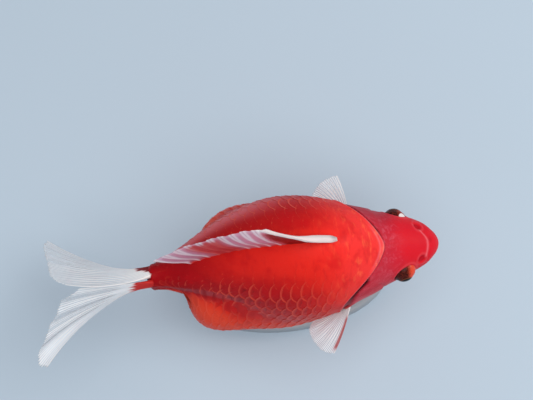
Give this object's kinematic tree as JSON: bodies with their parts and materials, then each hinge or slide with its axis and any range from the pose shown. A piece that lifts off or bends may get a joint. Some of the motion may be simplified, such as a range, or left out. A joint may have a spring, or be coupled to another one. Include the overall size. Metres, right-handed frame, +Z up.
{
  "type": "goldfish",
  "caption": "Red and white ryukin goldfish, deep bodied with a humped back and divided tail, shown swimming as a still museum model on a plain display stand.",
  "frame": {"origin": "centre of the stand's underside", "axes": "+X is the way the fish faces, +Y is its left side, +Z is up"},
  "size_m": [0.1583, 0.0694, 0.1237],
  "materials": {
    "red_skin": "satin",
    "white_fin": "satin",
    "dark_eye": "gloss",
    "painted_steel": "satin",
    "brushed_steel": "satin"
  },
  "bodies": {
    "root": {"head": "red_skin", "lower_jaw": "red_skin", "gill_cover_left": "red_skin", "gill_cover_right": "red_skin", "trunk": "red_skin", "tail_stalk": "red_skin", "dorsal_fin": "white_fin", "pectoral_fin_left": "white_fin", "pectoral_fin_right": "white_fin", "pelvic_fin_left": "white_fin", "pelvic_fin_right": "white_fin", "anal_fin_left": "white_fin", "anal_fin_right": "white_fin", "tail_fin_left": "white_fin", "tail_fin_right": "white_fin", "eye_left": "dark_eye", "eye_right": "dark_eye", "stand_base": "painted_steel", "stand_rod_front": "brushed_steel", "stand_rod_rear": "brushed_steel"}
  },
  "joints": []
}
